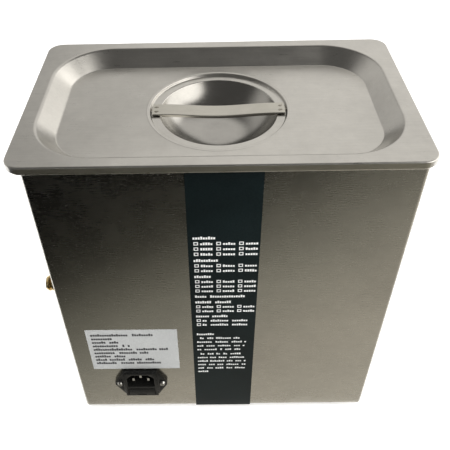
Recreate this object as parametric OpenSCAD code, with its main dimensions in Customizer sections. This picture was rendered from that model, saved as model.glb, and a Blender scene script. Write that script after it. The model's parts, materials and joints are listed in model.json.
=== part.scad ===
// Ultrasonic cleaner: a stainless tank with transducers under it, in a sheet-metal case with a loose lid.
// Sizes are in millimetres. +Z is up, -Y is the front with the controls, +Y is the rear with the mains inlet.
// The origin is on the floor, under the centre of the box that holds the whole object.

/* [Whole] */
// Height of the lid's flange above the floor
total_h = 318; // [312:1:326]
// Thickness of the stainless sheet
sheet = 0.8; // [0.7:0.1:0.9]

/* [Case] */
// Width of the case
case_w = 274.5; // [273:0.5:275]
// Depth of the case
case_d = 157; // [156.5:0.5:157.5]
// Outside radius of the case's upright bends
case_bend_r = 3; // [2:0.5:4]
// Height of the feet below the case
foot_h = 8; // [7:0.5:10]
// Width of the dark strips down the front and the rear
strip_w = 54; // [52:1:56]

/* [Lid] */
// Width of the lid over its lip
lid_w = 287; // [286.5:0.5:289]
// Depth of the lid over its lip
lid_d = 172; // [171.5:0.5:174]
// Distance of the lid and the tank from the case's middle, towards the outlet
lid_x = 2.5; // [1.5:0.1:2.8]
// Corner radius of the lid
lid_corner_r = 12; // [11:1:14]
// Height of the lip turned down round the lid
lip_h = 5; // [4:0.5:6]
// Depth of the tray pressed into the lid
tray_depth = 12; // [11:0.5:12.5]
// Radius of the round dish in the tray
dish_r = 52.5; // [52:0.5:53.5]
// Drop from the tray's floor to the ledge round the dish
dish_step = 2.2; // [2.1:0.1:2.8]
// Radius of the bowl inside the ledge
bowl_r = 45; // [44:0.5:45]
// Depth of the bowl below the ledge
bowl_depth = 20; // [18:1:22]
// Width of the bar that the lid is lifted by
grip_w = 14.7; // [13:0.1:16]

/* [Tank] */
// Width of the tank inside
tank_w = 250; // [249:0.5:250.5]
// Depth of the tank inside, front to rear
tank_d = 139.6; // [138:0.2:140]
// Height of the tank inside
tank_h = 150; // [148:1:152]

/* [Outlet] */
// Length of the drain outlet outside the case
outlet_reach = 25.5; // [24:0.5:29]
// Radius over the outlet's ridges
ridge_r = 7.3; // [6.8:0.1:7.5]
// Height of the drain line above the floor
drain_z = 133; // [132:0.5:134]

/* [Inlet] */
// Distance of the mains inlet from the case's middle
inlet_x = 77.9; // [70:0.1:85]
// Height of the mains inlet above the floor
inlet_z = 52; // [48:0.5:54]
// Distance between the inlet's two screws
inlet_screw_gap = 40; // [39:0.5:41]

/* [Hidden] */
$fn = 48;

// Paint and metal colours
steel = [0.72, 0.71, 0.68];
dark_film = [0.10, 0.12, 0.13];
black_plastic = [0.06, 0.06, 0.06];
rubber_black = [0.12, 0.12, 0.12];
brass = [0.78, 0.62, 0.30];
board_green = [0.08, 0.30, 0.14];
bright_plate = [0.80, 0.80, 0.78];

// The whole object's box is off the case's middle by half of what the outlet adds
overhang_right = case_w / 2 + outlet_reach + lid_x - lid_w / 2;
case_x = -overhang_right / 2;

// Case and base
case_bottom = foot_h;
base_z = case_bottom + sheet;
base_t = 1.2;
base_lip = 12;
base_lip_r = 4;
side_x = case_w / 2;
rear_y = case_d / 2;
gasket_h = 1;
lid_gap = 0.3;
tank_top = total_h - sheet - lid_gap;
case_top = tank_top - sheet - gasket_h;
foot_x = 108;
foot_y = 52;
foot_r = 11;
clear_m4 = 2.1;
clear_m3 = 1.6;

// Lid
flange_x = 12.5;
flange_y = 10.4;
tray_run = 12.3;
tray_corner_r = 45;
tray_w = lid_w - 2 * flange_x;
tray_d = lid_d - 2 * flange_y;
tray_slope = tray_run / tray_depth;
wall_across = sheet * sqrt(1 + tray_slope * tray_slope);
dish_draft = 0.8;
bowl_floor_r = 12;
bowl_bend_r = ((bowl_r - bowl_floor_r) * (bowl_r - bowl_floor_r) + bowl_depth * bowl_depth) / (2 * bowl_depth);
ledge_z = total_h - tray_depth - dish_step;
grip_t = 1;
grip_gap = 0.8;
grip_sag = 2;
grip_straight = 43;

// Tank
tank_corner_r = 23;
flare_run = 7;
flare_h = 12.4;
floor_fillet = 8;
mouth_w = tank_w + 2 * flare_run;
mouth_d = tank_d + 2 * flare_run;
mouth_r = tank_corner_r + flare_run;
tank_flange_w = lid_w - 3.5;
tank_flange_d = lid_d - 3.5;
tank_flange_r = lid_corner_r - 1.7;
tank_edge_h = 5.9;
tank_floor_z = tank_top - tank_h;
tank_under_z = tank_floor_z - sheet;
seam_gap = 0.4;
wire_bend = 5;

// Transducers and heaters
transducer_xs = [-62, 30];
horn_r = 29;
horn_neck_r = 22;
horn_h = 20;
piezo_r = 22;
piezo_h = 5;
electrode_t = 0.3;
stack_bolt_r = 4;
stack_hole_r = 4.4;
back_h = 18;
horn_z = tank_under_z - horn_h;
piezo_z = horn_z - 2 * piezo_h - 3 * electrode_t;
back_z = piezo_z - back_h;
heater_w = 180;
heater_h = 60;
heater_t = 1.5;

// Boards
board_z = 22;
board_w = 150;
board_d = 90;
board_t = 1.6;
board_x = -30;
board_y = -8;
board_hole_x = board_w / 2 - 6;
board_hole_y = board_d / 2 - 6;
board_top = board_z + board_t;

// Front controls
strip_t = 2;
front_face = rear_y + strip_t;
film_t = 0.35;
strip_bottom = case_bottom - 1.8;
button_r = 6;
button_flange_r = 7.4;
button_proud = 1.6;
button_gap = 0.3;
button_travel = 0.8;
button_rows = [52, 74, 96];
button_cols = [-11, 11];
display_z = 130;
display_w = 40;
display_h = 20;
panel_board_y = -66;
panel_board_z = 88;
panel_window_w = 46;
panel_window_h = 124;
panel_window_z = 90;

// Mains inlet
inlet_half_h = 18.8;
inlet_half_w = inlet_screw_gap / 2 + 4.5;
inlet_block_w = 31;
inlet_block_t = 5;
inlet_ear_t = 3;
inlet_body_w = 27.6;
inlet_body_h = 35;
inlet_back_y = rear_y - 26;
socket_w = 25.4;
socket_h = 19;
socket_z = 6.6;
socket_depth = 17;
drawer_w = 24.4;
drawer_h = 9.8;
drawer_z = -11.6;
drawer_len = 24;
drawer_gap = 0.3;
fuse_r = 2.6;
fuse_len = 20;

// Drain line: it leaves the tank's floor, turns to the rear through the valve and then out to the side
drain_x = 100;
drain_y = -40;
valve_y = -10;
outlet_y = 25;
drain_bore_r = 4.5;
hose_in_r = 7;
hose_out_r = 9.5;
hose_bend_r = 10;
ball_r = 8;
ball_seat_r = 8.4;
stem_r = 3;
stem_bore_r = 3.08;
lever_x = side_x + 8;
neck_r = 5.6;

// Basket
basket_w = 226;
basket_d = 116;
basket_h = 88;
basket_r = 16;
basket_z = tank_floor_z + 12;
basket_wall = 1;
wire_r = 1.6;
handle_top = 298;

// ---------- shared shapes ----------

// Puts a part that is drawn about the case's middle into the object's own frame
module placed() {
    translate([case_x, 0, 0]) children();
}

// Puts a part that is drawn about the tank's middle into the object's own frame
module over_tank() {
    translate([case_x + lid_x, 0, 0]) children();
}

// A rectangle with round corners
module rounded_rect(w, d, r) {
    square([w - 2 * r, d], center = true);
    square([w, d - 2 * r], center = true);
    for (x = [-1, 1], y = [-1, 1]) translate([x * (w / 2 - r), y * (d / 2 - r)]) circle(r);
}

// The outline of a sheet of thickness t, bent round a rectangle with round corners
module rect_wall(w, d, r, t) {
    difference() {
        rounded_rect(w, d, r);
        rounded_rect(w - 2 * t, d - 2 * t, r - t);
    }
}

// Sweeps a section round a rectangle with round corners: x is measured out from its outline, y is height
module swept_frame(w, d, r) {
    for (side = [0:3]) {
        reach = side % 2 == 0 ? w / 2 : d / 2;
        run = side % 2 == 0 ? d - 2 * r : w - 2 * r;
        rotate(90 * side) translate([reach, 0, 0]) rotate([90, 0, 0])
            linear_extrude(run, center = true) children();
    }
    corner_signs = [[1, 1], [-1, 1], [-1, -1], [1, -1]];
    for (corner = [0:3]) {
        at = corner_signs[corner];
        translate([at[0] * (w / 2 - r), at[1] * (d / 2 - r), 0])
            rotate(90 * corner) rotate_extrude(angle = 90) translate([r, 0]) children();
    }
}

// A round bar along X, Y or Z from its lowest end
module bar_x(r, len) {
    rotate([0, 90, 0]) cylinder(h = len, r = r);
}
module bar_y(r, len) {
    rotate([-90, 0, 0]) cylinder(h = len, r = r);
}

// A tube: the outside less the bore
module tube_z(r, bore, len) {
    difference() {
        cylinder(h = len, r = r);
        translate([0, 0, -1]) cylinder(h = len + 2, r = bore);
    }
}

// A pan-head screw that points down, its head's underside at z = 0
module pan_screw(r, head_r, head_h, len) {
    difference() {
        union() {
            cylinder(h = head_h, r1 = head_r, r2 = head_r * 0.72);
            translate([0, 0, -len]) cylinder(h = len + 0.1, r = r);
        }
        for (turn = [0, 90]) rotate(turn) translate([0, 0, head_h])
            cube([head_r * 1.1, head_r * 0.26, head_h], center = true);
    }
}

// A hexagonal nut of width af across its flats
module hex_nut(af, bore, h) {
    difference() {
        cylinder(h = h, r = af / sqrt(3), $fn = 6);
        translate([0, 0, -1]) cylinder(h = h + 2, r = bore);
    }
}

// A wire along a list of points: straight runs joined by round bends
module wire(points, r) {
    last = len(points) - 1;
    ways = [for (i = [1:last]) (points[i] - points[i - 1]) / norm(points[i] - points[i - 1])];
    turns = [for (i = [1:last - 1]) acos(ways[i - 1] * ways[i])];
    // How far each bend reaches along the runs beside it
    cuts = [0, for (turn = turns) wire_bend * tan(turn / 2), 0];
    for (i = [0:last - 1]) {
        way = ways[i];
        run = norm(points[i + 1] - points[i]) - cuts[i] - cuts[i + 1];
        translate(points[i] + way * cuts[i]) rotate([0, acos(way[2]), atan2(way[1], way[0])])
            cylinder(h = run, r = r);
    }
    for (i = [1:last - 1]) {
        way = ways[i - 1];
        turn = turns[i - 1];
        inward = (ways[i] - way * cos(turn)) / sin(turn);
        side = cross(way, inward);
        centre = points[i] - way * cuts[i] + inward * wire_bend;
        multmatrix([for (k = [0:2]) [-inward[k], way[k], side[k], centre[k]]])
            rotate_extrude(angle = turn) translate([wire_bend, 0]) circle(r);
    }
}

// ---------- case ----------

module case_shell() {
    placed() color(steel) difference() {
        union() {
            translate([0, 0, case_bottom]) linear_extrude(case_top - case_bottom)
                rect_wall(case_w, case_d, case_bend_r, sheet);
            // Lip turned in under the base plate
            translate([0, 0, case_bottom]) linear_extrude(sheet) difference() {
                rounded_rect(case_w, case_d, case_bend_r);
                rounded_rect(case_w - 2 * base_lip, case_d - 2 * base_lip, base_lip_r);
            }
        }
        // Seam of the wrapped sheet, behind the rear strip
        translate([-seam_gap / 2, rear_y - sheet - 1, 0]) cube([seam_gap, sheet + 2, total_h]);
        translate([-seam_gap / 2, rear_y - base_lip - 1, 0]) cube([seam_gap, base_lip + 2, base_z + 0.1]);
        // Window behind the front strip
        translate([0, -rear_y, panel_window_z])
            cube([panel_window_w, 4, panel_window_h], center = true);
        // Cut-out and screw holes of the mains inlet
        translate([inlet_x, rear_y, inlet_z])
            cube([inlet_body_w + 1, 4, inlet_body_h + 1], center = true);
        for (x = [-1, 1])
            translate([inlet_x + x * inlet_screw_gap / 2, rear_y - 2, inlet_z]) bar_y(clear_m3, 4);
        // Outlet and lever holes in the side
        translate([side_x - 2, outlet_y, drain_z]) bar_x(7.2, 4);
        translate([side_x - 2, valve_y, drain_z]) bar_x(stem_r + 1.5, 4);
        for (at = base_screw_places()) translate([at[0], at[1], 0])
            cylinder(h = base_z + 1, r = clear_m3);
    }
}

function base_screw_places() = [
    for (x = [-90, 0, 90], y = [-1, 1]) if (x != 0 || y < 0) [x, y * (rear_y - 7)],
    for (x = [-1, 1]) [x * (side_x - 7), 0]
];

function foot_places() = [for (x = [-1, 1], y = [-1, 1]) [x * foot_x, y * foot_y, 0]];

module base_plate() {
    plate_w = case_w - 2 * sheet - 0.6;
    plate_d = case_d - 2 * sheet - 0.6;
    placed() color(steel) translate([0, 0, base_z]) difference() {
        linear_extrude(base_t) rounded_rect(plate_w, plate_d, case_bend_r - sheet);
        for (row = [-2:2], col = [-4:4])
            translate([col * 18, row * 14, base_t / 2]) cube([12, 4, 4], center = true);
        for (at = foot_places()) translate([at[0], at[1], -1]) cylinder(h = 4, r = clear_m4);
        for (at = board_hole_places()) translate([at[0], at[1], -1]) cylinder(h = 4, r = clear_m3);
        for (at = base_screw_places()) translate([at[0], at[1], -1]) cylinder(h = 4, r = clear_m3);
        translate([earth_at[0], earth_at[1], -1]) cylinder(h = 4, r = clear_m4);
    }
}

module base_screws() {
    placed() color(bright_plate) for (at = base_screw_places())
        translate([at[0], at[1], case_bottom]) mirror([0, 0, 1]) pan_screw(1.5, 2.8, 2, 5);
}

module feet() {
    placed() color(rubber_black) for (at = foot_places()) translate(at) difference() {
        cylinder(h = base_z, r1 = foot_r - 2, r2 = foot_r);
        translate([0, 0, -1]) cylinder(h = base_z + 2, r = clear_m4);
        translate([0, 0, -1]) cylinder(h = 5, r = 4.6);
    }
}

module foot_screws() {
    placed() color(bright_plate) for (at = foot_places())
        translate([at[0], at[1], 4]) mirror([0, 0, 1]) pan_screw(2, 4, 2.4, 11);
}

module rear_strip() {
    placed() color(dark_film) translate([-strip_w / 2, rear_y, strip_bottom])
        cube([strip_w, film_t, case_top - strip_bottom]);
}

module rating_label() {
    label_w = 80;
    label_h = 60;
    label_x = 40.3;
    label_z = 72.6;
    label_t = 0.2;
    placed() color("white") translate([label_x, rear_y, label_z]) cube([label_w, label_t, label_h]);
}

// ---------- tank ----------

// Section of the tank's sheet: flare, upright wall and the fillet to its floor
fillet_at = [-flare_run - floor_fillet, floor_fillet - tank_h];
function tank_section(out) = [
    [0, 0], [-flare_run, -flare_h],
    for (turn = [0:15:90]) fillet_at + floor_fillet * [cos(turn), -sin(turn)],
    [fillet_at[0] - 4, -tank_h],
    [fillet_at[0] - 4, -tank_h - out],
    for (turn = [90:-15:0]) fillet_at + (floor_fillet + out) * [cos(turn), -sin(turn)],
    [-flare_run + out, -flare_h - 0.2], [out * 1.15, 0]
];

module tank() {
    floor_w = mouth_w - 2 * (flare_run + floor_fillet + 3);
    floor_d = mouth_d - 2 * (flare_run + floor_fillet + 3);
    over_tank() color(steel) translate([0, 0, tank_top]) {
        translate([0, 0, -sheet]) linear_extrude(sheet) difference() {
            rounded_rect(tank_flange_w, tank_flange_d, tank_flange_r);
            rounded_rect(mouth_w, mouth_d, mouth_r);
        }
        translate([0, 0, -tank_edge_h]) linear_extrude(tank_edge_h)
            rect_wall(tank_flange_w, tank_flange_d, tank_flange_r, sheet);
        swept_frame(mouth_w, mouth_d, mouth_r) polygon(tank_section(sheet));
        translate([0, 0, -tank_h - sheet]) linear_extrude(sheet) difference() {
            rounded_rect(floor_w, floor_d, mouth_r - flare_run - floor_fillet - 3);
            translate([drain_x - lid_x, drain_y]) circle(8);
        }
    }
}

module tank_gasket() {
    placed() color(rubber_black) translate([0, 0, case_top]) linear_extrude(gasket_h) difference() {
        rounded_rect(case_w + 1.6, case_d + 1.6, case_bend_r + 0.8);
        rounded_rect(case_w - 1.1, case_d - 1.1, case_bend_r);
    }
}

module transducer_horns() {
    placed() color("silver") for (x = transducer_xs) translate([x, 0, horn_z]) difference() {
        union() {
            cylinder(h = 4, r = horn_neck_r);
            translate([0, 0, 4]) cylinder(h = horn_h - 4, r1 = horn_neck_r, r2 = horn_r);
        }
        translate([0, 0, -1]) cylinder(h = 13, r = stack_bolt_r);
    }
}

module piezo_rings() {
    placed() color([0.35, 0.33, 0.30]) for (x = transducer_xs, layer = [0, 1])
        translate([x, 0, piezo_z + electrode_t + layer * (piezo_h + electrode_t)])
            tube_z(piezo_r, stack_hole_r, piezo_h);
}

module piezo_electrodes() {
    placed() color(brass) for (x = transducer_xs, layer = [0, 1, 2])
        translate([x, 0, piezo_z + layer * (piezo_h + electrode_t)]) {
            tube_z(piezo_r, stack_hole_r, electrode_t);
            translate([-2, layer == 1 ? piezo_r - 1 : -piezo_r - 8, 0]) cube([4, 9, electrode_t]);
        }
}

module transducer_backs() {
    placed() color([0.55, 0.55, 0.56]) for (x = transducer_xs)
        translate([x, 0, back_z]) tube_z(piezo_r, stack_hole_r, back_h);
}

module transducer_bolts() {
    head_h = 7;
    placed() color([0.30, 0.30, 0.32]) for (x = transducer_xs) translate([x, 0, back_z]) {
        translate([0, 0, -head_h]) difference() {
            cylinder(h = head_h, r = 7);
            translate([0, 0, -1]) cylinder(h = 5, r = 3.6, $fn = 6);
        }
        translate([0, 0, -0.1]) cylinder(h = horn_z - back_z + 11, r = stack_bolt_r);
    }
}

module heater_pads() {
    wall_y = tank_d / 2 + sheet;
    placed() color([0.75, 0.38, 0.16]) for (y = [-1, 1])
        translate([0, y * (wall_y + heater_t / 2), tank_floor_z + 42])
            cube([heater_w, heater_t, heater_h], center = true);
}

module temperature_sensor() {
    placed() color("silver") translate([-16, -42, tank_under_z - 5]) {
        cylinder(h = 5, r = 5);
        translate([-5, -9, 3]) cube([10, 18, 2]);
    }
}

// ---------- boards inside the case ----------

function board_hole_places() = [
    for (x = [-1, 1], y = [-1, 1]) [board_x + x * board_hole_x, board_y + y * board_hole_y]
];

earth_at = [112, 20];
earth_top = base_z + 15.3;

module generator_board() {
    placed() color(board_green) translate([board_x, board_y, board_z]) difference() {
        linear_extrude(board_t) square([board_w, board_d], center = true);
        for (at = board_hole_places())
            translate([at[0] - board_x, at[1] - board_y, -1]) cylinder(h = 4, r = clear_m3);
    }
}

module board_spacers() {
    placed() color(brass) for (at = board_hole_places())
        translate([at[0], at[1], base_z + base_t]) hex_nut(6, clear_m3, board_z - base_z - base_t);
}

module board_screws() {
    placed() color(bright_plate) for (at = board_hole_places())
        translate([at[0], at[1], board_top]) pan_screw(1.5, 2.8, 2, 6);
}

module heatsink() {
    placed() color("silver") translate([board_x - 68, board_y - 25, board_top]) {
        cube([4, 50, 40]);
        for (fin = [0:5]) translate([4, 2 + fin * 8.8, 0]) cube([12, 2, 40]);
    }
}

module power_transistors() {
    placed() color(black_plastic) for (y = [-20, 6]) translate([board_x - 73, board_y + y, board_top + 14]) {
        cube([5, 15, 20]);
        for (leg = [0:2]) translate([2, 2.5 + leg * 4.5, -14]) cube([0.8, 1, 14.1]);
    }
}

module output_transformer() {
    placed() translate([board_x - 6, board_y + 12, board_top]) {
        color([0.20, 0.20, 0.22]) difference() {
            cylinder(h = 24, r = 22);
            translate([0, 0, -1]) cylinder(h = 26, r = 8);
        }
        color([0.72, 0.40, 0.20]) for (turn = [0:30:330]) rotate(turn)
            translate([15, 0, 24]) cube([12, 2.4, 1.6], center = true);
    }
}

module capacitors() {
    placed() color([0.12, 0.20, 0.45]) {
        for (y = [-28, -8]) translate([board_x + 34, board_y + y, board_top]) cylinder(h = 30, r = 8);
        translate([board_x - 30, board_y - 38, board_top]) cube([26, 12, 18]);
    }
}

module relays() {
    placed() color([0.10, 0.35, 0.62]) for (y = [-34, -14])
        translate([board_x + 50, board_y + y, board_top]) cube([19, 15, 15]);
}

module earth_stud() {
    placed() color(bright_plate) translate([earth_at[0], earth_at[1], base_z - 0.7]) {
        cylinder(h = 0.7, r = 3.8);
        cylinder(h = earth_top - base_z + 0.7, r = 2);
        translate([0, 0, 0.7 + base_t]) cylinder(h = 3.2, r = 4, $fn = 6);
    }
}

// Where each of the inlet's pins ends behind its housing
function pin_end(i) = [
    inlet_x + inlet_pin_places()[i][0], inlet_back_y - 9, inlet_z + inlet_pin_places()[i][1]
];

// A mains lead from pin i: back from the pin, across, then down to the point at
module mains_lead(i, at) {
    start = pin_end(i);
    wire([start, [start[0], at[1], start[2]], [at[0], at[1], start[2]], at], 1.3);
}

module mains_wires() {
    placed() {
        color([0.45, 0.25, 0.12]) mains_lead(0, [40, 22, board_top]);
        color([0.15, 0.30, 0.65]) mains_lead(1, [40, 12, board_top]);
        color([0.35, 0.60, 0.20]) mains_lead(2, [112, 20, earth_top]);
    }
}

module transducer_wires() {
    tab_z = piezo_z + piezo_h + 1.5 * electrode_t;
    placed() for (i = [0, 1]) {
        x = transducer_xs[i];
        down_x = -30 + i * 12;
        cross_z = 60 + i * 8;
        wire_y = 35.5;
        color([0.70, 0.15, 0.12]) wire([
            [x, piezo_r + 8, tab_z], [x, wire_y, tab_z], [x, wire_y, cross_z],
            [down_x, wire_y, cross_z], [down_x, wire_y, board_top]
        ], 1.1);
    }
}

// ---------- front controls ----------

module front_strip() {
    placed() color(dark_film) difference() {
        translate([-strip_w / 2, -front_face, strip_bottom])
            cube([strip_w, strip_t, case_top - strip_bottom]);
        for (x = button_cols, z = button_rows)
            translate([x, -front_face - 1, z]) bar_y(button_r + button_gap, strip_t + 2);
        translate([0, -front_face, display_z])
            cube([display_w, 2 * strip_t + 2, display_h], center = true);
    }
}

module display_window() {
    placed() color([0.30, 0.05, 0.05, 0.6])
        translate([-display_w / 2 + 0.1, -front_face, display_z - display_h / 2 + 0.1])
            cube([display_w - 0.2, 1.5, display_h - 0.2]);
}

module display_module() {
    placed() color([0.85, 0.85, 0.82]) translate([-18, -front_face + 2.4, display_z - 8.5])
        cube([36, panel_board_y + front_face - 2.4, 17]);
}

module control_board() {
    placed() color(board_green) translate([-21, panel_board_y, panel_board_z - 50])
        cube([42, board_t, 106]);
}

module tact_switches() {
    placed() color(black_plastic) for (x = button_cols, z = button_rows)
        translate([x, panel_board_y - 3.5, z]) {
            translate([0, 1.75, 0]) cube([6, 3.5, 6], center = true);
            translate([0, -1, 0]) bar_y(1.7, 1.1);
        }
}

// A round key: cap, the flange that keeps it behind the strip, and a stem towards its switch
module push_button(x, z) {
    flange_t = 1.2;
    flange_y = -rear_y + button_gap;
    stem_end = panel_board_y - 4.5 - button_travel - 0.2;
    cap_y = -front_face - button_proud;
    translate([x, 0, z]) {
        translate([0, cap_y, 0]) bar_y(button_r, flange_y + flange_t - cap_y);
        translate([0, flange_y, 0]) bar_y(button_flange_r, flange_t);
        translate([0, flange_y + flange_t, 0]) bar_y(2, stem_end - flange_y - flange_t);
    }
}

module button_start() {
    placed() color([0.16, 0.45, 0.24]) push_button(button_cols[1], button_rows[0]);
}
module button_heat() {
    placed() color([0.62, 0.16, 0.12]) push_button(button_cols[0], button_rows[0]);
}
module button_time_up() {
    placed() color([0.55, 0.56, 0.57]) push_button(button_cols[1], button_rows[2]);
}
module button_time_down() {
    placed() color([0.55, 0.56, 0.57]) push_button(button_cols[1], button_rows[1]);
}
module button_temp_up() {
    placed() color([0.55, 0.56, 0.57]) push_button(button_cols[0], button_rows[2]);
}
module button_temp_down() {
    placed() color([0.55, 0.56, 0.57]) push_button(button_cols[0], button_rows[1]);
}

// ---------- mains inlet ----------

// Places children at the inlet: x across, y out of the rear face, z up
module at_inlet() {
    translate([case_x + inlet_x, rear_y, inlet_z]) children();
}

// A flat outline in x and z, drawn out towards the rear
module drawn_back(y0, y1) {
    translate([0, y1, 0]) rotate([90, 0, 0]) linear_extrude(y1 - y0) children();
}

module inlet_housing() {
    back = inlet_back_y - rear_y;
    half_top = 16;
    shoulder = 2.5;
    clip = 5;
    at_inlet() color(black_plastic) difference() {
        union() {
            drawn_back(0, inlet_ear_t) polygon([
                [-inlet_half_w, -shoulder], [-half_top, -inlet_half_h],
                [half_top, -inlet_half_h], [inlet_half_w, -shoulder],
                [inlet_half_w, shoulder], [half_top, inlet_half_h],
                [-half_top, inlet_half_h], [-inlet_half_w, shoulder]
            ]);
            translate([0, inlet_block_t / 2, 0])
                cube([inlet_block_w, inlet_block_t, 2 * inlet_half_h], center = true);
            translate([-inlet_body_w / 2, back, -inlet_body_h / 2])
                cube([inlet_body_w, -back + 0.1, inlet_body_h]);
        }
        // Socket with its two clipped corners
        translate([0, 0, socket_z]) drawn_back(inlet_block_t - socket_depth, inlet_block_t + 1) polygon([
            [-socket_w / 2, -socket_h / 2], [socket_w / 2, -socket_h / 2],
            [socket_w / 2, socket_h / 2 - clip], [socket_w / 2 - clip, socket_h / 2],
            [-socket_w / 2 + clip, socket_h / 2], [-socket_w / 2, socket_h / 2 - clip]
        ]);
        // Seat of the fuse drawer
        translate([0, inlet_block_t - drawer_len / 2 - 0.3, drawer_z])
            cube([drawer_w + 2 * drawer_gap, drawer_len + 1.2, drawer_h + 2 * drawer_gap], center = true);
        for (x = [-1, 1]) translate([x * inlet_screw_gap / 2, -1, 0]) bar_y(1.65, inlet_ear_t + 2);
        for (pin = inlet_pin_places()) translate([pin[0] - 1, back - 1, pin[1] - 2]) cube([2, 30, 4]);
    }
}

function inlet_pin_places() = [[-7, socket_z - 2], [7, socket_z - 2], [0, socket_z + 3]];

module inlet_pins() {
    back = inlet_back_y - rear_y;
    tip = inlet_block_t - 3;
    at_inlet() color(bright_plate) for (pin = inlet_pin_places())
        translate([pin[0] - 1, back - 9, pin[1] - 2]) cube([2, tip - back + 9, 4]);
}

module inlet_screws() {
    at_inlet() color(bright_plate) for (x = [-1, 1])
        translate([x * inlet_screw_gap / 2, inlet_ear_t, 0]) rotate([-90, 0, 0])
            pan_screw(1.5, 2.9, 1.9, 8);
}

module inlet_nuts() {
    at_inlet() color(bright_plate) for (x = [-1, 1])
        translate([x * inlet_screw_gap / 2, -sheet, 0]) rotate([90, 0, 0]) hex_nut(5.5, 1.5, 2.4);
}

module fuse_drawer() {
    front = inlet_block_t + 0.4;
    at_inlet() color(black_plastic) translate([0, 0, drawer_z]) difference() {
        translate([-drawer_w / 2, front - drawer_len, -drawer_h / 2]) cube([drawer_w, drawer_len, drawer_h]);
        // Cradle for the fuse, open upwards, and a finger notch in the front edge
        translate([0, front - 12, drawer_h / 2])
            cube([fuse_len + 0.6, 2 * fuse_r + 0.4, drawer_h], center = true);
        translate([0, front, -drawer_h / 2]) cube([8, 2.4, 2.4], center = true);
    }
}

module fuse() {
    front = inlet_block_t + 0.4;
    at_inlet() color([0.85, 0.85, 0.80])
        translate([-fuse_len / 2, front - 12, drawer_z + fuse_r]) bar_x(fuse_r, fuse_len);
}

// ---------- drain ----------

module drain_fitting() {
    flange_t = 2.5;
    foot = 146;
    placed() color(brass) translate([drain_x, drain_y, 0]) difference() {
        union() {
            translate([0, 0, tank_floor_z]) cylinder(h = flange_t, r = 12);
            translate([0, 0, foot]) cylinder(h = tank_floor_z - foot + 0.1, r = hose_in_r);
        }
        translate([0, 0, foot - 1]) cylinder(h = tank_floor_z - foot + flange_t + 2, r = drain_bore_r);
    }
}

module drain_nut() {
    placed() color(brass) translate([drain_x, drain_y, tank_under_z - 6]) hex_nut(22, hose_in_r, 6);
}

module drain_hose() {
    hose_top = tank_under_z - 6.5;
    bend_z = drain_z + hose_bend_r;
    straight_run = valve_y - 13 - drain_y - hose_bend_r;
    placed() color([0.85, 0.84, 0.78]) translate([drain_x, 0, 0]) difference() {
        union() {
            translate([0, drain_y, bend_z]) cylinder(h = hose_top - bend_z, r = hose_out_r);
            translate([0, drain_y + hose_bend_r, bend_z]) rotate([0, 90, 0]) rotate([0, 0, -90])
                rotate_extrude(angle = 90) translate([hose_bend_r, 0]) circle(hose_out_r);
            translate([0, drain_y + hose_bend_r, drain_z]) bar_y(hose_out_r, straight_run);
        }
        translate([0, drain_y, bend_z]) cylinder(h = hose_top - bend_z + 1, r = hose_in_r);
        translate([0, drain_y + hose_bend_r, bend_z]) rotate([0, 90, 0]) rotate([0, 0, -90])
            rotate_extrude(angle = 90) translate([hose_bend_r, 0]) circle(hose_in_r);
        translate([0, drain_y + hose_bend_r, drain_z]) bar_y(hose_in_r, straight_run + 1);
    }
}

module valve_body() {
    placed() color(brass) translate([drain_x, valve_y, drain_z]) difference() {
        union() {
            translate([0, -13, 0]) bar_y(12, 26);
            translate([0, -20, 0]) bar_y(hose_in_r, 8);
            translate([0, 12, 0]) bar_y(6, 9);
            bar_x(7, 26);
        }
        translate([0, -21, 0]) bar_y(drain_bore_r, 43);
        sphere(ball_seat_r);
        translate([0, -11, 0]) bar_y(ball_seat_r, 22);
        bar_x(stem_bore_r, 27);
    }
}

module valve_seats() {
    placed() color("white") translate([drain_x, valve_y, drain_z]) for (side = [0, 180]) rotate([0, 0, side])
        translate([0, -11, 0]) difference() {
            bar_y(ball_seat_r, 5);
            translate([0, -1, 0]) bar_y(drain_bore_r, 7);
            translate([0, 11, 0]) sphere(ball_r + 0.1);
        }
}

module valve_ball() {
    placed() color(bright_plate) translate([drain_x, valve_y, drain_z]) difference() {
        sphere(ball_r);
        translate([0, 0, -ball_r - 1]) cylinder(h = 2 * ball_r + 2, r = drain_bore_r);
        translate([ball_r - 2, -5, -1]) cube([3, 10, 2]);
    }
}

module valve_stem() {
    placed() color(bright_plate) translate([drain_x, valve_y, drain_z]) {
        stem_start = ball_r - 0.1;
        translate([stem_start, 0, 0]) bar_x(stem_r, lever_x + 6 - drain_x - stem_start);
        translate([ball_r - 2, -2.2, -1]) cube([2.1, 4.4, 2]);
    }
}

module drain_lever() {
    arm = 44;
    placed() color([0.75, 0.16, 0.12]) translate([lever_x, valve_y, drain_z]) difference() {
        union() {
            translate([-2.5, 0, 0]) bar_x(7, 5);
            translate([-1, -5, 0]) cube([2.6, 10, arm - 5]);
            translate([-1, 0, arm - 5]) bar_x(5, 2.6);
        }
        translate([-4, 0, 0]) bar_x(stem_r, 8);
    }
}

// A hose barb section: r against length, with ridges that slope back to the neck
crest = 1;
function ridges(start, count, pitch) = [
    for (at = [start:pitch:start + (count - 0.5) * pitch])
        each [[at, ridge_r], [at + crest, ridge_r], [at + pitch, neck_r + 0.5]]
];

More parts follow.
